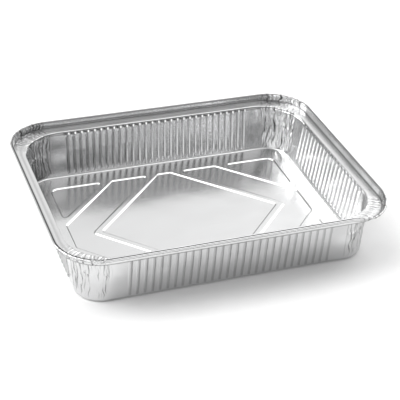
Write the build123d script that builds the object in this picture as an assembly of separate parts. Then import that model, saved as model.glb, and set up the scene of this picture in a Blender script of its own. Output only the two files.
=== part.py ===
from build123d import *

import math
import os

# A catering tray, pressed and folded from one sheet of aluminium foil.
# Millimetres. The origin is the middle of the underside, +X runs along the long side, +Z is up.

# The sheet.
gauge = 0.1                  # thickness of the foil

# Overall sizes.
rim_length = 320.0           # over the folded edge
rim_width = 256.0
height = 58.5
rim_corner = 43.0            # corner radius of the rim, seen from above

# The rim: a flat ledge, an upright flange round it, and the flange's folded edge.
flange_height = 7.4          # from the ledge to the top edge
flange_lean = 1.3            # how far the flange opens outwards over its height
hem_width = 2.0              # the edge, folded outwards and down
hem_drop = 2.2
ledge_at_ends = 9.3          # width of the ledge at the short sides
ledge_at_sides = 10.7        # and at the long sides
throat_corner = 42.0         # corner radius where the walls meet the ledge
lip_radius = 1.0             # rounding between wall and ledge
crease_radius = 0.7          # rounding between ledge and flange

# The walls open outwards from the floor up to the ledge.
splay_at_ends = 6.5          # how far the short walls open
splay_at_sides = 5.1         # and the long ones
floor_corner = 25.0
heel_radius = 1.6            # rounding between wall and floor

# Vertical beads, pressed outwards in the walls.
bead_width = 3.3
bead_depth = 1.1
bead_top_gap = 2.4           # below the ledge
bead_foot_gap = 2.4          # above the floor
front_beads = 28
rear_beads = 29
end_beads = 19
plain_at_ends = 60.0         # from the rim's short side to the row of beads on a long wall
plain_at_sides = 57.25       # from the rim's long side to the row on a short wall

# Floor panels, set down below the ribs that stand between them.
panel_step = 1.0
panel_slope = 50.0           # degrees that a panel's side leans from upright
border_at_ends = 18.5        # flat border between the panels and the short walls
border_at_sides = 20.7       # and the long walls
diamond_gap = 30.3           # from the middle panel's point to the pattern's short side
diamond_top = 14.2           # length of the middle panel's cut-off corners
rib_run = 7.4                # width along X of a slanting rib
arrow_run = 42.1             # width along X of an arrow-shaped panel
panel_round = 4.0            # corner radius of the panels, seen from above
pattern_round = 9.0          # and at the four corners of the pattern

# Places worked out from those sizes.
ledge_z = height - flange_height
floor_z = panel_step
foot_length = rim_length - 2 * (hem_width + flange_lean)
foot_width = rim_width - 2 * (hem_width + flange_lean)
foot_corner = rim_corner - hem_width - flange_lean
throat_length = foot_length - 2 * ledge_at_ends
throat_width = foot_width - 2 * ledge_at_sides
floor_length = throat_length - 2 * splay_at_ends
floor_width = throat_width - 2 * splay_at_sides
pattern_x = floor_length / 2 - border_at_ends
pattern_y = floor_width / 2 - border_at_sides
diamond_reach = pattern_x - diamond_gap
rib_slant = pattern_y / (diamond_reach - diamond_top / 2)

LEVEL = 0.001                # how closely a height is matched


def outline(length, width, corner, z):
    """A rectangle with rounded corners, flat at height z."""
    return Pos(0, 0, z) * RectangleRounded(length, width, corner)


def edges_at(solid, z):
    """The edges of a solid that lie flat at height z."""
    return solid.edges().filter_by_position(Axis.Z, z - LEVEL, z + LEVEL)


def basin(skin):
    """The room between walls and floor: skin is 0 for the sheet's inside, gauge for its outside."""
    bottom = floor_z + gauge - skin
    grow = 2 * skin
    low = outline(floor_length + grow, floor_width + grow, floor_corner + skin, bottom)
    high = outline(throat_length + grow, throat_width + grow, throat_corner + skin, ledge_z)
    room = loft([low, high], ruled=True)
    return fillet(edges_at(room, bottom), heel_radius + skin)


def rim_room(skin):
    """The room inside the flange, from the ledge to the top edge."""
    foot = ledge_z - skin
    head_corner = rim_corner - hem_width
    grow = 2 * (skin - hem_width)
    low = outline(foot_length + 2 * skin, foot_width + 2 * skin, foot_corner + skin, foot)
    high = outline(rim_length + grow, rim_width + grow, head_corner + skin, height)
    room = loft([low, high], ruled=True)
    return fillet(edges_at(room, foot), crease_radius + skin)


def hem():
    """The folded edge: a plate with its side turned down, hollow underneath."""
    foot = height - hem_drop
    outside = extrude(outline(rim_length, rim_width, rim_corner, foot), amount=hem_drop)
    outside = fillet(edges_at(outside, height), hem_width / 2)
    shrink = 2 * gauge
    under = outline(rim_length - shrink, rim_width - shrink, rim_corner - gauge, foot)
    inside = extrude(under, amount=hem_drop - gauge)
    inside = fillet(edges_at(inside, height - gauge), hem_width / 2 - gauge)
    return outside - inside


def bead_bar(skin, length):
    """A round bar along Z with slanting ends: what stands beyond Y = 0 is one bead."""
    radius = (bead_width**2 / 4 + bead_depth**2) / (2 * bead_depth)
    bar = Pos(0, bead_depth - radius, 0) * Cylinder(radius + skin, 2 * length)
    root, crown = -bead_depth, 2 * bead_depth
    half = length / 2 + skin
    upper = [(root, half - root), (crown, half - crown)]
    lower = [(y, -z) for y, z in reversed(upper)]
    side = make_face(Polyline(*upper, *lower, close=True))
    return bar & extrude(Plane.YZ * side, amount=bead_width, both=True)


def bead_bars(skin):
    """The bars for all four walls, each row spread evenly along its wall."""
    long_row = rim_length - 2 * plain_at_ends
    short_row = rim_width - 2 * plain_at_sides
    rows = (
        (0, floor_width, throat_width, rear_beads, long_row),
        (90, floor_length, throat_length, end_beads, short_row),
        (180, floor_width, throat_width, front_beads, long_row),
        (270, floor_length, throat_length, end_beads, short_row),
    )
    foot, head = floor_z + bead_foot_gap, ledge_z - bead_top_gap
    middle = (foot + head) / 2
    share = (middle - floor_z) / (ledge_z - floor_z)
    bars = []
    for turn, low, high, count, row in rows:
        lean = math.atan2((high - low) / 2, ledge_z - floor_z)
        reach = (low + (high - low) * share) / 2
        bar = Rot(-math.degrees(lean), 0, 0) * bead_bar(skin, (head - foot) / math.cos(lean))
        for k in range(count):
            along = (k + 0.5) * row / count - row / 2
            bars.append(Rot(0, 0, -turn) * Pos(along, reach, middle) * bar)
    return bars


def slant_y(reach, x):
    """How far out in Y a slanting edge is at x, when it meets the X axis at reach."""
    return rib_slant * (reach - x)


def slant_x(reach, y):
    """How far out in X the same edge is at y."""
    return reach - y / rib_slant


def panel_face(points, radii):
    """A panel's outline at floor height, with a radius for each of its corners."""
    face = make_face(Polyline(*points, close=True))
    for radius in sorted(set(radii)):
        corners = [point for point, wanted in zip(points, radii) if wanted == radius]
        chosen = [v for v in face.vertices() if any(math.dist((v.X, v.Y), c) < LEVEL for c in corners)]
        face = fillet(chosen, radius)
    return Pos(0, 0, floor_z) * face


def middle_panel():
    """The diamond in the middle, cut off at the pattern's long sides."""
    top = diamond_top / 2
    upper = [(diamond_reach, 0), (top, pattern_y), (-top, pattern_y)]
    lower = [(-x, -y) for x, y in upper]
    return panel_face(upper + lower, [panel_round] * 6)


def arrow_panel(side):
    """The panel that bends round one point of the diamond: side is 1 or -1."""
    inner = diamond_reach + rib_run
    outer = inner + arrow_run
    upper = [
        (slant_x(inner, pattern_y), pattern_y),
        (slant_x(outer, pattern_y), pattern_y),
        (pattern_x, slant_y(outer, pattern_x)),
    ]
    lower = [(x, -y) for x, y in reversed(upper)]
    points = [(inner, 0)] + upper + lower
    return panel_face([(side * x, y) for x, y in points], [panel_round] * 7)


def corner_panel(side, end):
    """The three-cornered panel at one corner of the pattern: side and end are 1 or -1."""
    reach = diamond_reach + arrow_run + 2 * rib_run
    points = [
        (slant_x(reach, pattern_y), pattern_y),
        (pattern_x, pattern_y),
        (pattern_x, slant_y(reach, pattern_x)),
    ]
    radii = [panel_round, pattern_round, panel_round]
    return panel_face([(side * x, end * y) for x, y in points], radii)


def panels(lift):
    """The seven panels as solids that reach down from the floor, raised by lift."""
    faces = [middle_panel()]
    for side in (1, -1):
        faces += [arrow_panel(side), corner_panel(side, 1), corner_panel(side, -1)]
    sunk = [extrude(face, amount=panel_step, dir=(0, 0, -1), taper=panel_slope) for face in faces]
    return [Pos(0, 0, lift) * solid for solid in sunk]


def throat_edges(solid, z):
    """The edges where the walls meet the ledge."""
    limit = Vector(throat_length, throat_width) / 2 + Vector(lip_radius, lip_radius) / 2
    found = []
    for edge in edges_at(solid, z):
        reach = edge.bounding_box()
        if reach.max.X < limit.X and reach.min.X > -limit.X:
            if reach.max.Y < limit.Y and reach.min.Y > -limit.Y:
                found.append(edge)
    return found


def room_inside(skin):
    """All the room inside one surface of the sheet, from the floor to the top edge."""
    room = basin(skin) + rim_room(skin)
    room = fillet(throat_edges(room, ledge_z - skin), lip_radius - skin)
    return room.fuse(*bead_bars(skin), *panels(gauge - skin))


def tray():
    """The sheet: what lies between its outer and inner surfaces, with the folded edge."""
    return room_inside(gauge) + hem() - room_inside(0)


os.makedirs("parts", exist_ok=True)
export_step(tray(), "parts/tray.step")
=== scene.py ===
# %% [markdown]
# # A foil tray
# A catering tray is one sheet of aluminium foil, about a tenth of a millimetre thick, pressed into
# a die. Its looks come from three things: crisp regular forms (beads, ribs, a ledge and a folded
# rim), the fine creases that take up the spare foil at the corners, and a bright metal that mirrors
# the room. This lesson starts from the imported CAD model, which fixes the sizes, and draws the
# sheet again as one closed surface with those finer shapes in it.

# %% Load the frame
import math

import bpy
import numpy as np
from mathutils import Matrix, Vector
from mathutils.geometry import delaunay_2d_cdt


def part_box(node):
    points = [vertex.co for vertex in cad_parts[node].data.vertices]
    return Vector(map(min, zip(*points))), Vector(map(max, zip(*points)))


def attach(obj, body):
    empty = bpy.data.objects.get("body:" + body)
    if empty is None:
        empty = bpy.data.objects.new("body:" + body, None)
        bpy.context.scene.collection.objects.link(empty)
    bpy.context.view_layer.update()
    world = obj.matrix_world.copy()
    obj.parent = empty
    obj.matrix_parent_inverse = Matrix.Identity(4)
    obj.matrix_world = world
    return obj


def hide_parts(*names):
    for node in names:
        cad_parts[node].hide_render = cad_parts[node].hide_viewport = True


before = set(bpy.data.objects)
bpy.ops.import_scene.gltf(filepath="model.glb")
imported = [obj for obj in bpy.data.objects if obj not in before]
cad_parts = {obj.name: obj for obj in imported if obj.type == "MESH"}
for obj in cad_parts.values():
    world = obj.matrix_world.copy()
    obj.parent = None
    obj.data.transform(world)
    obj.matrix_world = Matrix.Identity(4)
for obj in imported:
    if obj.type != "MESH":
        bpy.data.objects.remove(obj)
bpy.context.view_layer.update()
low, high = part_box("tray")
print("CAD box in millimetres:", [round(1000 * (b - a), 1) for a, b in zip(low, high)])

# %% [markdown]
# ## Sizes
# All shapes below are worked out in millimetres, from the tray's box and the sizes of the
# pressing, and turned into metres when the mesh is made. The rim's length, width and height are
# read from the frame. The other sizes repeat the model's own, which the frame doesn't give.

# %% Sizes of the pressing, in millimetres
RIM_LENGTH, RIM_WIDTH, HEIGHT = (1000 * (b - a) for a, b in zip(low, high))
GAUGE = 0.1
RIM_CORNER, THROAT_CORNER, FLOOR_CORNER = 43.0, 42.0, 25.0
FLANGE_HEIGHT, FLANGE_LEAN, HEM_WIDTH, HEM_DROP = 7.4, 1.3, 2.0, 2.2
LEDGE = np.array([9.3, 10.7])            # its width at the short sides and at the long ones
SPLAY = np.array([6.5, 5.1])             # how far the walls open, in the same order
HEEL, CREASE, PANEL_STEP = 1.6, 0.7, 1.0

RIM = np.array([RIM_LENGTH, RIM_WIDTH]) / 2
FOOT = RIM - HEM_WIDTH - FLANGE_LEAN
THROAT = FOOT - LEDGE
FLOOR = THROAT - SPLAY
FOOT_CORNER = RIM_CORNER - HEM_WIDTH - FLANGE_LEAN
LEDGE_Z = HEIGHT - FLANGE_HEIGHT
FLOOR_Z = PANEL_STEP + GAUGE
print("half sizes of rim, throat and floor:", RIM, THROAT, FLOOR)

# %% [markdown]
# ## Camera
# The camera stands in front and to the left, a bit over a metre away, with a short telephoto lens.
# It comes first, so every later step can be looked at through it.

# %% Camera
VIEW = dict(azimuth=-20.801, elevation=32.199, distance=1.238358, aim=(0.019408, 0.029106),
            lens=109.86, roll=2.627)


def add_camera(azimuth, elevation, distance, aim, lens, roll):
    """A camera that looks at a point of the table: back is the way from that point to the camera."""
    a, e = math.radians(azimuth), math.radians(elevation)
    back = Vector((math.sin(a) * math.cos(e), -math.cos(a) * math.cos(e), math.sin(e)))
    right = (-back).cross(Vector((0, 0, 1))).normalized()
    level = Matrix((right, back.cross(right), back)).transposed()
    turn = level @ Matrix.Rotation(math.radians(roll), 3, "Z")
    data = bpy.data.cameras.new("camera")
    data.lens, data.sensor_width, data.clip_end = lens, 36.0, 20.0
    camera = bpy.data.objects.new("camera", data)
    camera.matrix_world = Matrix.Translation(Vector((*aim, 0)) + back * distance) @ turn.to_4x4()
    bpy.context.collection.objects.link(camera)
    bpy.context.scene.camera = camera
    return camera


camera = add_camera(**VIEW)
print("camera at", [round(v, 3) for v in camera.matrix_world.translation])

# %% [markdown]
# ## Columns
# The sheet's walls are a grid: rings stacked from the floor's edge to the folded rim, and columns
# that climb across them. On a straight wall every bead gets six columns, at its crown, its flanks
# and its edges, so the grid follows the pressing. Round each corner the columns are packed closer,
# because that is where the foil is creased.

# %% Columns on the straight walls
BEADS = {"right": 19, "rear": 29, "left": 19, "front": 28}
ROW = {"right": 141.5, "rear": 200.0, "left": 141.5, "front": 200.0}
CORNER_COLUMNS = 110
BEAD_HALF = 1.65                         # half a bead's width, below its flared top
CROWN, CROWN_FLARE, EDGE = 0.45, 0.22, 0.93    # where a bead's columns are, as shares of half_width
SHOULDER = 0.5                           # flat foil kept beside a bead, so its edge stays crisp
GAP = 0.03                               # kept between the columns of two beads that touch


def along_wall(wall, half_width):
    """Where each column is along its wall, at each ring: half_width is the beads' at that ring.

    A bead has six columns, mirrored about its middle: on its crown, at its edge and on its shoulder.
    """
    count, row = BEADS[wall], ROW[wall]
    pitch = row / count
    centre = (np.arange(count) + 0.5) * pitch - row / 2
    crown = (CROWN + CROWN_FLARE * (half_width - BEAD_HALF)) * half_width
    edge = EDGE * half_width
    shoulder = np.minimum(half_width + SHOULDER, pitch / 2 - GAP)
    steps = np.stack([-shoulder, -edge, -crown, crown, edge, shoulder], axis=1)
    inside = (centre[:, None] + steps[:, None, :]).reshape(len(half_width), -1)
    ends = np.full((len(half_width), 1), row / 2)
    return np.concatenate([-ends, inside, ends], axis=1)


def bead_share(wall):
    """How much of a bead's depth each column of a wall has: 1 on the crown and 0 at the edges."""
    return np.concatenate([[0.0], np.tile([0.0, 0.0, 1.0, 1.0, 0.0, 0.0], BEADS[wall]), [0.0]])


def quarter(half_x, half_y, radius, share):
    """One corner of a rounded rectangle, from the short wall's row of beads to the long wall's.

    The path is a straight run, a quarter circle and a straight run, and share goes from 0 to 1
    along its length.
    """
    start, stop = ROW["right"] / 2, ROW["rear"] / 2
    first, last = half_y - radius - start, half_x - radius - stop
    length = first + radius * math.pi / 2 + last
    s = share * length
    angle = np.clip((s - first) / radius, 0, math.pi / 2)
    x = half_x - radius + radius * np.cos(angle) - np.maximum(s - first - radius * math.pi / 2, 0)
    y = start + np.minimum(s, first) + radius * np.sin(angle)
    return x, y, np.cos(angle), np.sin(angle)


print("columns round the tray:", sum(6 * n + 2 for n in BEADS.values()) + 4 * CORNER_COLUMNS)

# %% [markdown]
# ## Rings
# The profile of the sheet, from the edge of the floor to the end of the folded rim: the heel, the
# wall, the lip where it rolls over into the ledge, the crease, the upright flange and the hem,
# which is folded outwards and down. Each ring has a height, half sizes and a corner radius. Near
# the top of the long walls the beads flare into the narrow groove that runs under the lip. On the
# short walls the groove is nearly gone between the corners, and the beads grow shallow instead.

# %% Rings of the profile
def zone(inner, outer, inner_corner, outer_corner, share, grow, z):
    """Rings between two rounded rectangles: half sizes and corner are mixed by share, then grown."""
    share, grow, z = np.broadcast_arrays(*np.atleast_1d(share, grow, z))
    half = inner + np.outer(share, outer - inner) + grow[:, None]
    corner = inner_corner + share * (outer_corner - inner_corner) + grow
    return np.column_stack([half, corner, z])


HEEL_TURN = 83.6                         # degrees from the floor up to the wall
set_back = math.tan(math.radians(HEEL_TURN / 2))
turn = np.radians([0, 28, 56, 83])
heel = zone(FLOOR, THROAT, FLOOR_CORNER, THROAT_CORNER, 0.0,
            HEEL * (np.sin(turn) - set_back), FLOOR_Z + HEEL * (1 - np.cos(turn)))

#                  height, bead half width, bead depth, depth of the groove under the lip
wall_table = np.array([(3.2, 1.3, 0.0, 0.0), (3.9, 1.5, 0.6, 0.0), (4.7, 1.65, 1.1, 0.0),
                       (8.5, 1.65, 1.1, 0.0), (13.5, 1.65, 1.1, 0.0), (18.5, 1.65, 1.1, 0.0),
                       (23.5, 1.65, 1.1, 0.0), (28.9, 1.65, 1.1, 0.0), (29.5, 1.65, 1.1, 0.0),
                       (30.1, 1.65, 1.1, 0.0), (34.5, 1.65, 1.1, 0.0), (39.5, 1.65, 1.1, 0.0),
                       (43.5, 1.65, 1.1, 0.0), (45.4, 1.65, 1.1, 0.0), (46.6, 1.9, 1.15, 0.0),
                       (47.6, 2.35, 1.2, 0.0), (48.3, 2.85, 1.25, 0.15), (49.0, 3.15, 1.25, 0.85),
                       (49.6, 3.2, 1.25, 1.15), (50.2, 3.2, 0.65, 0.5)])
wall_z = wall_table[:, 0]
wall = zone(FLOOR, THROAT, FLOOR_CORNER, THROAT_CORNER,
            (wall_z - FLOOR_Z) / (LEDGE_Z - FLOOR_Z), 0.0, wall_z)

lip = zone(THROAT, THROAT, THROAT_CORNER, THROAT_CORNER, 0.0, [-0.12, 0.0, 0.35, 0.85],
           LEDGE_Z - np.array([0.45, 0.12, -0.06, -0.05]))
ledge = zone(THROAT, FOOT, THROAT_CORNER, FOOT_CORNER, [0.2, 0.42, 0.66, 0.88], 0.0,
             LEDGE_Z + np.array([-0.06, 0.10, 0.0, 0.06]))
turn = np.radians([0, 40, 78])
crease = zone(FOOT, FOOT, FOOT_CORNER, FOOT_CORNER, 0.0, CREASE * (np.sin(turn) - 0.9),
              LEDGE_Z + CREASE * (1 - np.cos(turn)))
HEM_ROOM = 0.5                           # kept between the flange's top and the hem's groove
HEAD = RIM - HEM_WIDTH - HEM_ROOM
climb = np.array([0.25, 0.6, 0.93])
flange = zone(FOOT, HEAD, FOOT_CORNER, RIM_CORNER - HEM_WIDTH, climb, 0.0,
              LEDGE_Z + climb * FLANGE_HEIGHT)
# Way in from the rim and depth below the top: a groove, the fold's top, and its turned-down side.
hem_table = np.array([(2.2, 0.0), (1.85, 0.9), (1.5, 0.45), (0.95, 0.0),
                      (0.3, 0.15), (0.0, 0.75), (0.1, HEM_DROP)])
hem = zone(RIM, RIM, RIM_CORNER, RIM_CORNER, 0.0, -hem_table[:, 0], HEIGHT - hem_table[:, 1])

parts = dict(heel=heel, wall=wall, lip=lip, ledge=ledge, crease=crease, flange=flange, hem=hem)
rings = np.concatenate(list(parts.values()))
ends = np.cumsum([len(part) for part in parts.values()]).tolist()
zones = {name: slice(end - len(part), end) for (name, part), end in zip(parts.items(), ends)}
bead_half = np.full(len(rings), BEAD_HALF)
bead_depth = np.zeros(len(rings))
groove = np.zeros(len(rings))
bead_half[zones["wall"]], bead_depth[zones["wall"]], groove[zones["wall"]] = wall_table[:, 1:].T
print("rings:", len(rings), {name: s.stop - s.start for name, s in zones.items()})

# %% [markdown]
# ## Creases at the corners
# A flat sheet has too much foil for a corner, so the die gathers the spare into sharp upright
# folds. They wander as they climb, stop and start, and go on over the ledge and the flange as
# finer pleats. A fold follows the columns of the grid, and the columns themselves are pushed
# sideways by noise as they climb, so a crease stays crisp however it wanders.

# %% Seeded noise
def cells(shape, seed):
    """Random numbers from -1 to 1, the same on every run."""
    return np.random.default_rng(seed).uniform(-1, 1, shape)


def smooth_noise(u, v, nodes_u, nodes_v, seed):
    """Values at random nodes, mixed between them by smoothsteps: u and v go from 0 to 1."""
    grid = cells((nodes_u + 2, nodes_v + 2), seed)
    a, b = np.clip(u, 0, 1) * nodes_u, np.clip(v, 0, 1) * nodes_v
    i, j = a.astype(int), b.astype(int)
    s, t = a - i, b - j
    s, t = s * s * (3 - 2 * s), t * t * (3 - 2 * t)
    near = grid[i, j] * (1 - t) + grid[i, j + 1] * t
    far = grid[i + 1, j] * (1 - t) + grid[i + 1, j + 1] * t
    return near * (1 - s) + far * s


def window(value, start, full, full_end, end):
    """0 below start, 1 from full to full_end, and 0 again past end."""
    return np.clip((value - start) / (full - start), 0, 1) * np.clip((end - value) / (end - full_end), 0, 1)


def ripples(x, y, longest, shortest, seed, count=7):
    """A sum of count cosine waves in random directions, from about -1 to 1: x and y in millimetres."""
    rng = np.random.default_rng(seed)
    angle, phase = rng.uniform(0, math.tau, (2, count))
    length = rng.uniform(shortest, longest, count)
    waves = [np.cos(math.tau * (x * math.cos(a) + y * math.sin(a)) / w + p)
             for a, p, w in zip(angle, phase, length)]
    return sum(waves) / math.sqrt(count)


height = rings[:, 3]
path = np.concatenate([[0], np.cumsum(np.hypot(np.diff(rings[:, 0]), np.diff(height)))])
climb_share = path / path[-1]


# %% The folds of a corner
CREASED = (0.16, 0.26, 0.74, 0.84)       # shares of a corner where creases begin, are full, thin out, end
SWAY, WANDER = 0.017, 0.022              # how far a crease moves sideways, as shares of the corner
SWAY_NODES = 19


def alternate(index):
    """-1 and 1 in turn."""
    return np.where(index % 2, 1.0, -1.0)


def folds(seed):
    """Folded foil across a corner, column by column: an uneven zigzag from about -1 to 1."""
    rng = np.random.default_rng(seed)
    at = np.cumsum(rng.integers(2, 5, CORNER_COLUMNS))
    peaks = alternate(np.arange(len(at))) * rng.uniform(0.35, 1.0, len(at))
    return np.interp(np.arange(CORNER_COLUMNS), at, peaks)


def corner_shape(seed):
    """A corner's columns: their share of the corner, three patterns from about -1 to 1, and a mask.

    The patterns are the folds, fine pleats two columns wide and soft waves. Two sets of folds take
    turns as noise decides, so a crease stops where another one takes over.
    """
    column = (np.arange(CORNER_COLUMNS) + 1) / (CORNER_COLUMNS + 1)
    u, v = np.meshgrid(column, climb_share)
    creased = window(u, *CREASED)
    nodes = np.linspace(0, 1, SWAY_NODES)
    sway = np.stack([np.interp(column, nodes, row) for row in cells((len(rings), SWAY_NODES), seed)])
    share = u + creased * (SWAY * sway + WANDER * smooth_noise(u, v, 7, 9, seed + 1))
    turns = np.clip(0.5 + 4.0 * smooth_noise(u, v, 22, 9, seed + 2), 0, 1)
    strength = 0.8 + 0.4 * smooth_noise(u, v, 30, 12, seed + 5)
    fold = (folds(seed + 3) * turns + folds(seed + 4) * (1 - turns)) * strength
    pleats = 0.6 + 0.4 * smooth_noise(u, v, 40, 9, seed + 6)
    fine = alternate(np.arange(CORNER_COLUMNS) // 2) * pleats
    soft = smooth_noise(u, v, 9, 4, seed + 7)
    return share, fold, fine, soft, creased


print("push of the folds in the first corner:", folds(13).min().round(2), "to", folds(13).max().round(2))

# %% [markdown]
# ## The grid
# Each stretch of the tray gives the same things: where its columns are, which way is out, how far
# the foil is pushed out by beads, groove and creases, how far it is lifted, and how much shade is
# painted into its colour. The eight stretches are laid end to end, anticlockwise from the right
# wall, and close into rings.

# %% Where along the profile each effect acts
FOLDS_FROM, FOLDS_RISE = 3.0, 7.0        # height where the folds begin, and how soon they are full
ON_WALL = np.zeros(len(rings))
ON_WALL[zones["wall"]] = np.clip((wall_z - FOLDS_FROM) / FOLDS_RISE, 0, 1)
ON_WALL[zones["lip"]] = [0.9, 0.7, 0.5, 0.3]
ON_LEDGE = np.zeros(len(rings))
ON_LEDGE[zones["lip"]] = [0.2, 0.5, 0.8, 1.0]
ON_LEDGE[zones["ledge"]] = 1.0
ON_LEDGE[zones["crease"]] = [0.8, 0.4, 0.2]
ON_FLANGE = np.zeros(len(rings))
ON_FLANGE[zones["crease"]] = [0.2, 0.5, 0.9]
ON_FLANGE[zones["flange"]] = 1.0
ON_FLANGE[zones["hem"]] = [1.0, 0.9, 0.8, 0.8, 0.9, 1.0, 1.0]
grooved = groove / groove.max()
RING_PAINTED_SHADE = np.zeros(len(rings))            # painted shade on each ring: in the groove, on the ledge, at the crease, at the flange's top and under the hem
RING_PAINTED_SHADE[zones["wall"]] = 0.25 * grooved[zones["wall"]]
RING_PAINTED_SHADE[zones["flange"]] = [0.0, 0.0, 0.1]
RING_PAINTED_SHADE[zones["ledge"]] = [0.0, 0.25, 0.0, 0.3]
RING_PAINTED_SHADE[zones["crease"]] = [0.4, 1.0, 0.5]
RING_PAINTED_SHADE[zones["hem"]] = [0.9, 1.0, 0.8, 0.1, 0.0, 0.0, 0.0]
NOTCH_PAINTED_SHADE = 0.45 * grooved                   # more painted shade between two beads, where they meet the groove
BEAD_SHADE = 0.30 * np.clip(bead_depth, 0, 1) * (groove == 0)    # painted shade in a stripe on a bead's crown, below the groove
print("rings that are closed in:", int((RING_PAINTED_SHADE > 0).sum()), "of", len(rings))


# %% Push, lift and painted shade of the corner creases
# How deep the folds, the fine pleats and the soft waves are in each zone, in millimetres.
WALL_FOLD, WALL_SOFT = 0.72, 0.25
LEDGE_FOLD, LEDGE_FINE, LEDGE_SOFT = 0.22, 0.12, 0.12
FLANGE_FOLD, FLANGE_FINE, FLANGE_SOFT, FLANGE_DIP = 0.45, 0.26, 0.15, 0.15


def corner_push(seed):
    """A corner's columns: their share of it, their push and lift in millimetres, mask and painted shade.

    Shade is painted where a fold's crest passes a limit: the shade is clip(gain * fold - limit).
    """
    share, fold, fine, soft, creased = corner_shape(seed)
    wall_part, ledge_part, flange_part = ON_WALL[:, None], ON_LEDGE[:, None], ON_FLANGE[:, None]
    on_wall = WALL_FOLD * fold + WALL_SOFT * soft
    on_ledge = LEDGE_FINE * fine + LEDGE_FOLD * fold + LEDGE_SOFT * soft
    on_flange = FLANGE_FINE * fine + FLANGE_FOLD * fold + FLANGE_SOFT * soft
    out = creased * (wall_part * on_wall + flange_part * on_flange)
    up = creased * (ledge_part * on_ledge - flange_part * FLANGE_DIP * abs(fine))
    # Painted shade: the colour darkens in the wall's fold valleys, along the ledge's fine pleats and over
    # the flange's folds.
    wall_painted_shade = wall_part * np.clip(3.0 * fold - 0.95, 0, 1)
    ledge_painted_shade = 0.6 * ledge_part * np.clip(1.4 * fine - 0.5, 0, 1)
    flange_painted_shade = flange_part * np.clip(1.8 * fold + 0.7 * fine - 0.3, 0, 0.95)
    painted_shade = creased * np.maximum(wall_painted_shade, np.maximum(ledge_painted_shade, flange_painted_shade))
    return share, out, up, creased, painted_shade


# %% One stretch of each kind
UNEVEN, UNEVEN_LEDGE = 0.10, 0.05        # how far the plain foil wanders from its ring, and its lift
RUN_OUT = ([45.0, 50.2], [1.0, 0.15])    # heights between which a short wall's beads grow shallow
MARK_HEIGHT, MARK_DEPTH = 29.5, -0.05    # a faint level mark that the die leaves half way up


def straight_stretch(wall, seed):
    """A straight wall: its columns stand at fixed places, and the beads push them out.

    On the short walls the beads grow shallow at the top, and the groove fades away from the corners:
    its share is 0.1 + 0.9 * (distance from the middle / half the row) ** 8.
    """
    along = along_wall(wall, bead_half)
    depth, fade = bead_depth, np.ones_like(along)
    if wall in ("right", "left"):
        depth = bead_depth * np.interp(height, *RUN_OUT)
        fade = 0.1 + 0.9 * (abs(along) / (ROW[wall] / 2)) ** 8
    push = np.maximum(np.outer(depth, bead_share(wall)), groove[:, None] * fade)
    u, v = np.meshgrid(np.linspace(0, 1, along.shape[1]), climb_share)
    held = (ON_WALL + 0.6 * ON_FLANGE)[:, None]
    push = push + UNEVEN * held * ripples(along, height[:, None], 70, 25, seed)
    mark = MARK_DEPTH * np.isclose(height, MARK_HEIGHT)
    push = push + mark[:, None] * np.clip(0.3 + smooth_noise(u, v, 30, 1, seed + 2), 0, 1)
    lift = UNEVEN_LEDGE * ON_LEDGE[:, None] * ripples(along, 6 * rings[:, [1]], 60, 20, seed + 3)
    return along, push, lift


def corner_stretch(seed):
    """A corner, going from the short wall to the long wall."""
    share, push, lift, creased, painted_shade = corner_push(seed)
    x, y, out_x, out_y = quarter(*(rings[:, [i]] for i in range(3)), share)
    # The corners keep whichever is darker: the painted shade of their folds or the painted shade of the
    # rings.
    return x, y, out_x, out_y, push + groove[:, None], lift, creased, np.maximum(painted_shade, RING_PAINTED_SHADE[:, None])


def flip(arrays, sign_x, sign_y):
    """A corner turned into another one: x and y change sign, and one change reverses its columns."""
    x, y, out_x, out_y, *rest = arrays
    order = slice(None, None, sign_x * sign_y)
    return [a[:, order] for a in (sign_x * x, sign_y * y, sign_x * out_x, sign_y * out_y, *rest)]


def wall_stretch(wall, seed):
    """A straight wall in its place, with its columns running anticlockwise."""
    along, push, lift = straight_stretch(wall, seed)
    one, nil = np.ones_like(along), np.zeros_like(along)
    # Painted shade on the long walls: the notches between the beads' tops are darkened.
    notch_painted_shade = NOTCH_PAINTED_SHADE if wall in ("front", "rear") else np.zeros_like(NOTCH_PAINTED_SHADE)
    bead = bead_share(wall)
    # Painted shade on a wall: the rings' shade, the notches' shade and a stripe on each bead's crown, added
    # up.
    painted_shade = RING_PAINTED_SHADE[:, None] + notch_painted_shade[:, None] * (1 - bead) + np.outer(BEAD_SHADE, bead)
    if wall in ("right", "left"):
        side = 1 if wall == "right" else -1
        arrays = side * one * rings[:, [0]], along, side * one, nil, push, lift, nil, painted_shade
    else:
        side = 1 if wall == "rear" else -1
        arrays = along, side * one * rings[:, [1]], nil, side * one, push, lift, nil, painted_shade
    order = slice(None, None, 1 if wall in ("right", "front") else -1)
    return [a[:, order] for a in arrays]


# %% Lay the eight stretches end to end
stretches = [wall_stretch("right", 100), flip(corner_stretch(10), 1, 1),
             wall_stretch("rear", 200), flip(corner_stretch(20), -1, 1),
             wall_stretch("left", 300), flip(corner_stretch(30), -1, -1),
             wall_stretch("front", 400), flip(corner_stretch(40), 1, -1)]
ring_x, ring_y, out_x, out_y, push, lift, creased, painted_shade = (
    np.concatenate(a, axis=1) for a in zip(*stretches))
print("grid:", ring_x.shape, "pushed out", push.min().round(2), "to", push.max().round(2), "mm")

# %% [markdown]
# ## Knocks
# A tray this thin never leaves the kitchen drawer straight. One front corner's rim has been bent
# down, and the foil beside each corner has a few soft hollows.

# %% Bend one corner of the rim and sink the hollows
def near(x, y, at, reach):
    """1 at a place, falling smoothly to 0 at reach."""
    d = np.hypot(x - at[0], y - at[1]) / reach
    return np.clip(1 - d * d, 0, 1) ** 2


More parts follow.
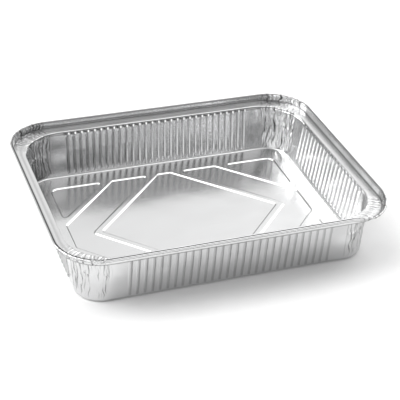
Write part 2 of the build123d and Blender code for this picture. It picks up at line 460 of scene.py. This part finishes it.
grid_z = np.repeat(rings[:, [3]], ring_x.shape[1], axis=1) + lift
grid_x, grid_y = ring_x + out_x * push, ring_y + out_y * push
BENT_AT, BENT_REACH, BENT_DOWN, BENT_OUT = (141, -121), 34, 3.4, 1.6
bent = near(ring_x, ring_y, BENT_AT, BENT_REACH) * ON_FLANGE[:, None]
above = np.clip((grid_z - LEDGE_Z) / FLANGE_HEIGHT, 0, 1)
grid_z = grid_z - BENT_DOWN * bent * above
grid_x = grid_x + BENT_OUT * bent * above * out_x
grid_y = grid_y + BENT_OUT * bent * above * out_y
HOLLOW_REACH = 13
#           place, height, and how far the foil is pushed out there
HOLLOWS = [((108, -111), 34, -0.7), ((114, -112), 16, 0.6), ((-110, -111), 26, 0.5),
           ((146, -78), 30, 0.6), ((146, 84), 24, -0.5), ((-108, 112), 30, 0.5)]
for at, level, depth in HOLLOWS:
    away = np.hypot(ring_x - at[0], ring_y - at[1])
    hollow = near(away, grid_z - level, (0, 0), HOLLOW_REACH)
    grid_x, grid_y = grid_x + depth * hollow * out_x, grid_y + depth * hollow * out_y
print("lowest point of the bent rim:", grid_z[zones["hem"]].min().round(1))

# %% [markdown]
# ## The floor
# Seven panels are set down below the flat ribs that stand between them: a diamond in the middle,
# an arrow round each of its points, and a triangle in each corner. Every panel's outline is
# rounded once, and then copied at six distances to make its slope. The triangles between all
# those loops come from a Delaunay triangulation that keeps the loops as edges.

# %% Panel outlines
BORDER = np.array([18.5, 20.7])          # flat floor between the panels and the walls
PATTERN = FLOOR - BORDER
DIAMOND_GAP = 30.3                       # from the diamond's point to the pattern's short side
DIAMOND_REACH = PATTERN[0] - DIAMOND_GAP
DIAMOND_TOP, RIB_RUN, ARROW_RUN = 14.2, 7.4, 42.1
PANEL_ROUND, PATTERN_ROUND = 4.0, 9.0
SLANT = PATTERN[1] / (DIAMOND_REACH - DIAMOND_TOP / 2)


def slant_x(reach, y):
    """Where a slanting edge is along X, when it meets the X axis at reach."""
    return reach - y / SLANT


def slant_y(reach, x):
    """Where the same edge is along Y."""
    return SLANT * (reach - x)


def diamond():
    """The middle panel: a diamond with two corners cut off."""
    upper = [(DIAMOND_REACH, 0), (DIAMOND_TOP / 2, PATTERN[1]), (-DIAMOND_TOP / 2, PATTERN[1])]
    return upper + [(-x, -y) for x, y in upper], [PANEL_ROUND] * 6


def arrow():
    """The panel that bends round the diamond's right point."""
    inner, outer = DIAMOND_REACH + RIB_RUN, DIAMOND_REACH + RIB_RUN + ARROW_RUN
    upper = [(slant_x(inner, PATTERN[1]), PATTERN[1]), (slant_x(outer, PATTERN[1]), PATTERN[1]),
             (PATTERN[0], slant_y(outer, PATTERN[0]))]
    return [(inner, 0)] + upper + [(x, -y) for x, y in reversed(upper)], [PANEL_ROUND] * 7


def triangle():
    """The panel in the right rear corner."""
    reach = DIAMOND_REACH + ARROW_RUN + 2 * RIB_RUN
    points = [(slant_x(reach, PATTERN[1]), PATTERN[1]), tuple(PATTERN),
              (PATTERN[0], slant_y(reach, PATTERN[0]))]
    return points, [PANEL_ROUND, PATTERN_ROUND, PANEL_ROUND]


def mirrored(panel, sign_x, sign_y):
    """A panel in another place, with signs for x and y."""
    points, radii = panel
    return [(sign_x * x, sign_y * y) for x, y in points], radii


PANELS = [diamond(), arrow(), mirrored(arrow(), -1, 1)]
PANELS += [mirrored(triangle(), a, b) for a in (1, -1) for b in (1, -1)]
print("panels:", len(PANELS))


# %% Round an outline and copy it at a distance
def rounded(points, radii, arc=8, spacing=9.0):
    """Points along a rounded polygon, with the way inwards at each.

    A corner that bends by b is an arc of its radius r, which starts r * tan(b / 2) before it.
    """
    p, r = np.array(points, float), np.array(radii, float)
    area = np.sum(p[:, 0] * np.roll(p[:, 1], -1) - p[:, 1] * np.roll(p[:, 0], -1))
    if area < 0:
        p, r = p[::-1], r[::-1]
    before, after = p - np.roll(p, 1, axis=0), np.roll(p, -1, axis=0) - p
    way_in, way_out = (v / np.linalg.norm(v, axis=1)[:, None] for v in (before, after))
    cross = way_in[:, 0] * way_out[:, 1] - way_in[:, 1] * way_out[:, 0]
    bend = np.arctan2(cross, (way_in * way_out).sum(axis=1))
    reach = r * np.tan(abs(bend) / 2)
    left = np.stack([-way_in[:, 1], way_in[:, 0]], axis=1)
    centre = p - way_in * reach[:, None] + left * (r * np.sign(bend))[:, None]
    steps = np.linspace(0, 1, arc)
    turned = bend[:, None] * steps
    c, s = np.cos(turned), np.sin(turned)
    inward = np.stack([left[:, [0]] * c - left[:, [1]] * s, left[:, [0]] * s + left[:, [1]] * c], axis=2)
    arcs = centre[:, None] - inward * (r * np.sign(bend))[:, None, None]
    loop, ways = [], []
    for k in range(len(p)):
        end, start = arcs[k, -1], arcs[(k + 1) % len(p), 0]
        count = max(int(np.linalg.norm(start - end) / spacing), 1)
        run = end + np.outer(np.arange(1, count) / count, start - end)
        loop += [arcs[k], run]
        ways += [inward[k], np.repeat(inward[k, -1:], len(run), axis=0)]
    return np.concatenate(loop), np.concatenate(ways)


# %% Triangulate the floor
PANEL_SLOPE = 50                         # degrees that a panel's side leans from upright
SLOPE = PANEL_STEP * math.tan(math.radians(PANEL_SLOPE))
#              distance inside the outline and share of the step
SLOPE_LOOPS = [(-0.8, 0.0), (-0.15, 0.02), (0.18, 0.12),
               (SLOPE - 0.25, 0.90), (SLOPE + 0.15, 0.98), (SLOPE + 0.75, 1.0)]


def loop_edges(start, count):
    """Index pairs that join count points into a closed loop."""
    index = start + np.arange(count)
    return np.stack([index, np.roll(index, -1)], axis=1)


edge_loop = np.stack([grid_x[0], grid_y[0]], axis=1)
flat_points, flat_z, edges = [edge_loop], [grid_z[0]], [loop_edges(0, len(edge_loop))]
for points, radii in PANELS:
    outline, inward = rounded(points, radii)
    for distance, step in SLOPE_LOOPS:
        edges.append(loop_edges(sum(map(len, flat_points)), len(outline)))
        flat_points.append(outline + distance * inward)
        flat_z.append(np.full(len(outline), FLOOR_Z - step * PANEL_STEP))

# A small oval dent in the floor. Its outer loop crosses the floor's edge, which adds two points,
# and the six triangles at those points end at the dent's last point instead.
DENT, DENT_POINTS = np.array([136.0, -66.0]), 10
angle = np.arange(DENT_POINTS) * math.tau / DENT_POINTS
oval = np.stack([1.3 * np.cos(angle), 0.8 * np.sin(angle)], axis=1)
for radius, depth in [(3.2, 0.0), (1.8, 0.12), (0.9, 0.5)]:
    edges.append(loop_edges(sum(map(len, flat_points)), DENT_POINTS))
    flat_points.append(DENT + radius * oval)
    flat_z.append(np.full(DENT_POINTS, FLOOR_Z - depth))
flat_points, flat_z, edges = (np.concatenate(a) for a in (flat_points, flat_z, edges))
made = delaunay_2d_cdt([Vector(p) for p in flat_points.tolist()], edges.tolist(), [], 1, 1e-6)
source = np.array([origin[0] if origin else -1 for origin in made[3]])
floor_faces = source[np.array(made[2])]
print("floor:", len(flat_points), "points,", len(floor_faces), "triangles")
print("points added where loops cross, which should be 0:", int((source < 0).sum()))

# %% [markdown]
# ## The sheet
# The grid and the floor share the ring of points at the floor's edge, so together they are one
# skin, which faces into the tray. A Solidify modifier gives it the foil's thickness on the other
# side. A UV map keeps the place that every point had on the flat sheet before it was pressed, so
# the rolling marks of the foil can run straight across it and up the walls.

# %% Join grid and floor into one mesh
RINGS, COLUMNS = ring_x.shape
index = np.arange(RINGS * COLUMNS).reshape(RINGS, COLUMNS)
beside = np.roll(index, -1, axis=1)
quads = np.stack([index[:-1], index[1:], beside[1:], beside[:-1]], axis=2).reshape(-1, 4)
extra = len(flat_points) - COLUMNS
floor_index = np.concatenate([index[0], RINGS * COLUMNS + np.arange(extra)])
grid = np.stack([grid_x, grid_y, grid_z], axis=2).reshape(-1, 3)
inner = np.column_stack([flat_points, flat_z])[COLUMNS:]
points = np.concatenate([grid, inner]) / 1000
unrolled = np.stack([grid_x[0] + out_x * path[:, None], grid_y[0] + out_y * path[:, None]], axis=2)
flat_place = np.concatenate([unrolled.reshape(-1, 2), inner[:, :2]]) / 1000
crumple = creased * (ON_WALL + ON_LEDGE + ON_FLANGE)[:, None]
# The crumple mask and the painted shade go on the grid's points; the floor's own points get neither.
crumple, painted_shade = (np.concatenate([a.clip(0, 1).ravel(), np.zeros(extra)]) for a in (crumple, painted_shade))

mesh = bpy.data.meshes.new("foil_tray")
mesh.from_pydata(points.tolist(), [], quads.tolist() + floor_index[floor_faces].tolist())
mesh.polygons.foreach_set("use_smooth", np.ones(len(mesh.polygons), bool))
corner_point = np.empty(len(mesh.loops), np.int32)
mesh.loops.foreach_get("vertex_index", corner_point)
sheet_map = mesh.uv_layers.new(name="sheet")
sheet_map.uv.foreach_set("vector", flat_place[corner_point].ravel().astype(np.float32))
# One attribute holds the painted shade, which darkens the foil's colour in its material.
for name, values in (("crumple", crumple), ("painted_shade", painted_shade)):
    mesh.attributes.new(name, "FLOAT", "POINT").data.foreach_set("value", values.astype(np.float32))
tray = bpy.data.objects.new("foil_tray", mesh)
bpy.context.collection.objects.link(tray)
thickness = tray.modifiers.new("gauge", "SOLIDIFY")
thickness.thickness, thickness.offset = GAUGE / 1000, -1.0
thickness.use_rim = True
print("skin:", len(mesh.vertices), "points,", len(quads) * 2 + len(floor_faces), "triangles,",
      "twice that with the other side")

# %% [markdown]
# ## Foil
# Bare aluminium is nearly a mirror, and what softens it is the rolling: fine marks all along the
# sheet. The material is a plain metal whose roughness and surface follow three patterns: the
# rolling marks, slow waves of the thin sheet, and a fine crumple where the corners are gathered.
# Deep in a fold the foil mirrors only more foil and looks dark. A mesh this coarse can't show that
# by itself, so shade is painted into the metal's colour there, and also in the groove under the
# lip, between the beads' tops, on the ledge, at the crease and under the hem, and in a stripe on
# each bead's crown.

# %% Node helpers
def node(tree, kind, inputs=None, **settings):
    """A node with its settings and its inputs: an input is a value, or a socket to link."""
    made_node = tree.nodes.new(kind)
    for key, value in settings.items():
        setattr(made_node, key, value)
    for key, value in (inputs or {}).items():
        if isinstance(value, bpy.types.NodeSocket):
            tree.links.new(value, made_node.inputs[key])
        else:
            made_node.inputs[key].default_value = value
    return made_node


def mix(tree, share, first, second):
    """The colour (1 - share) * first + share * second."""
    return node(tree, "ShaderNodeMix", {
        "Factor": share, "A": first, "B": second}, data_type="RGBA").outputs["Result"]


def bump(tree, height_there, relief, below=None):
    """A surface whose height is relief metres times a pattern, on top of the surface below."""
    inputs = {"Height": height_there, "Strength": 1.0, "Distance": relief}
    if below is not None:
        inputs["Normal"] = below
    return node(tree, "ShaderNodeBump", inputs).outputs["Normal"]


# %% Foil
DULL_FOIL, BRIGHT_FOIL = (0.71, 0.712, 0.715, 1), (0.77, 0.772, 0.774, 1)
# The near-black colour that the painted shade mixes the foil towards.
PAINTED_SHADE_FOIL = (0.025, 0.025, 0.026, 1)
MARK_RELIEF, WAVE_RELIEF, CRUMPLE_RELIEF = 0.0000008, 0.00035, 0.00025    # metres


def foil_material():
    """Bright rolled aluminium, with shade painted into its colour in the folds and recesses and on the
    beads.
    """
    material = bpy.data.materials.new("rolled_foil")
    material.use_nodes = True
    tree = material.node_tree
    tree.nodes.clear()
    sheet = node(tree, "ShaderNodeUVMap", uv_map="sheet").outputs["UV"]
    place = node(tree, "ShaderNodeTexCoord").outputs["Object"]
    gathered = node(tree, "ShaderNodeAttribute", attribute_name="crumple").outputs["Fac"]

    along = node(tree, "ShaderNodeMapping", {"Vector": sheet, "Scale": (6.0, 260.0, 1.0)}).outputs["Vector"]
    marks = node(tree, "ShaderNodeTexNoise", {
        "Vector": along, "Scale": 4.0, "Detail": 4.0, "Roughness": 0.6})
    waves = node(tree, "ShaderNodeTexNoise", {
        "Vector": place, "Scale": 28.0, "Detail": 1.0, "Roughness": 0.4})
    creases = node(tree, "ShaderNodeTexVoronoi", {
        "Vector": place, "Scale": 420.0}, feature="DISTANCE_TO_EDGE")

    rough = node(tree, "ShaderNodeMapRange", {
        "Value": marks.outputs["Fac"], "From Min": 0.3, "From Max": 0.7,
        "To Min": 0.16, "To Max": 0.22}).outputs["Result"]
    soften = node(tree, "ShaderNodeMath", {
        0: gathered, 1: 0.04, 2: rough}, operation="MULTIPLY_ADD").outputs[0]
    tone = mix(tree, marks.outputs["Fac"], DULL_FOIL, BRIGHT_FOIL)
    # Painted shade: the attribute mixes the foil's colour towards the near-black colour.
    shade_share = node(tree, "ShaderNodeAttribute", attribute_name="painted_shade").outputs["Fac"]
    tone = mix(tree, shade_share, tone, PAINTED_SHADE_FOIL)

    crumpled = node(tree, "ShaderNodeMath", {
        0: creases.outputs["Distance"], 1: gathered}, operation="MULTIPLY").outputs[0]
    rolled = bump(tree, marks.outputs["Fac"], MARK_RELIEF)
    waved = bump(tree, waves.outputs["Fac"], WAVE_RELIEF, rolled)
    surface = bump(tree, crumpled, CRUMPLE_RELIEF, waved)
    shader = node(tree, "ShaderNodeBsdfPrincipled", {
        "Base Color": tone, "Metallic": 1.0, "Roughness": soften, "Normal": surface})
    node(tree, "ShaderNodeOutputMaterial", {"Surface": shader.outputs["BSDF"]})
    return material


tray.data.materials.append(foil_material())
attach(tray, "root")
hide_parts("tray")
print("material:", tray.data.materials[0].name)

# %% [markdown]
# ## Table and light
# A metal tray shows its room more than itself. The table is plain and white. The room is a dim
# world with round soft lights in it: the brightest stand behind and to the left and hang overhead,
# and the side behind the camera stays dimmer, so the walls that face it get their greys.

# %% Table
TABLE_LIFT = 0.06
TABLE_HALF = 6.0                         # metres from its middle to its edge
GREY_GRAIN, WHITE_GRAIN = (0.84, 0.84, 0.84, 1), (0.88, 0.88, 0.88, 1)


def table_material():
    """White paper that gives off TABLE_LIFT of light to camera rays only, so that it stays white."""
    material = bpy.data.materials.new("white_table")
    material.use_nodes = True
    tree = material.node_tree
    tree.nodes.clear()
    place = node(tree, "ShaderNodeTexCoord").outputs["Object"]
    grain = node(tree, "ShaderNodeTexNoise", {"Vector": place, "Scale": 60.0, "Detail": 3.0})
    tone = mix(tree, grain.outputs["Fac"], GREY_GRAIN, WHITE_GRAIN)
    seen = node(tree, "ShaderNodeLightPath").outputs["Is Camera Ray"]
    lift = node(tree, "ShaderNodeMath", {0: seen, 1: TABLE_LIFT}, operation="MULTIPLY").outputs[0]
    shader = node(tree, "ShaderNodeBsdfPrincipled", {
        "Base Color": tone, "Roughness": 0.9, "Specular IOR Level": 0.2,
        "Emission Color": (1, 1, 1, 1), "Emission Strength": lift})
    node(tree, "ShaderNodeOutputMaterial", {"Surface": shader.outputs["BSDF"]})
    return material


table_mesh = bpy.data.meshes.new("table")
table_corners = [(x * TABLE_HALF, y * TABLE_HALF, 0) for x, y in ((-1, -1), (1, -1), (1, 1), (-1, 1))]
table_mesh.from_pydata(table_corners, [], [(0, 1, 2, 3)])
table = bpy.data.objects.new("table", table_mesh)
bpy.context.collection.objects.link(table)
table_mesh.materials.append(table_material())
print("table:", 2 * TABLE_HALF, "m wide")


# %% Studio light
def soft_box(tree, azimuth, elevation, inner, outer, strength):
    """A round soft light far away: full inside the inner angle, and nothing past the outer one.

    Azimuth is measured from the front, towards the right.
    """
    a, e = math.radians(azimuth), math.radians(elevation)
    way = (math.sin(a) * math.cos(e), -math.cos(a) * math.cos(e), math.sin(e))
    look = node(tree, "ShaderNodeTexCoord").outputs["Generated"]
    facing = node(tree, "ShaderNodeVectorMath", {0: look, 1: way}, operation="DOT_PRODUCT").outputs["Value"]
    return node(tree, "ShaderNodeMapRange", {
        "Value": facing, "To Min": 0.0, "To Max": strength,
        "From Min": math.cos(math.radians(outer)), "From Max": math.cos(math.radians(inner))},
        interpolation_type="SMOOTHSTEP").outputs["Result"]


ROOM = 0.06                              # the room's own faint light
# Azimuth, elevation, inner and outer angle, and strength of each light.
SOFT_BOXES = dict(
    ceiling_right=(120, 58, 6, 36, 2.1),
    ceiling_left=(240, 58, 6, 36, 3.0),
    ceiling_front=(30, 62, 6, 36, 0.8),
    window=(250, 30, 5, 34, 3.8),
    window_low=(235, 13, 4, 28, 1.0),
    back=(160, 26, 5, 36, 0.95),
    back_left=(200, 13, 4, 28, 0.4),
    back_right=(117, 18, 5, 30, 1.6),
    left_card=(320, 18, 4, 30, 1.6),
    right_card=(20, 16, 4, 24, 0.2))

world = bpy.data.worlds.new("studio")
world.use_nodes = True
tree = world.node_tree
tree.nodes.clear()
total = ROOM
for name, box in SOFT_BOXES.items():
    total = node(tree, "ShaderNodeMath", {0: soft_box(tree, *box), 1: total}, operation="ADD").outputs[0]
light = node(tree, "ShaderNodeBackground", {"Color": (1, 1, 1, 1), "Strength": total})
node(tree, "ShaderNodeOutputWorld", {"Surface": light.outputs["Background"]})
bpy.context.scene.world = world
bpy.context.scene.view_settings.view_transform = "Standard"
print("soft boxes:", ", ".join(SOFT_BOXES))
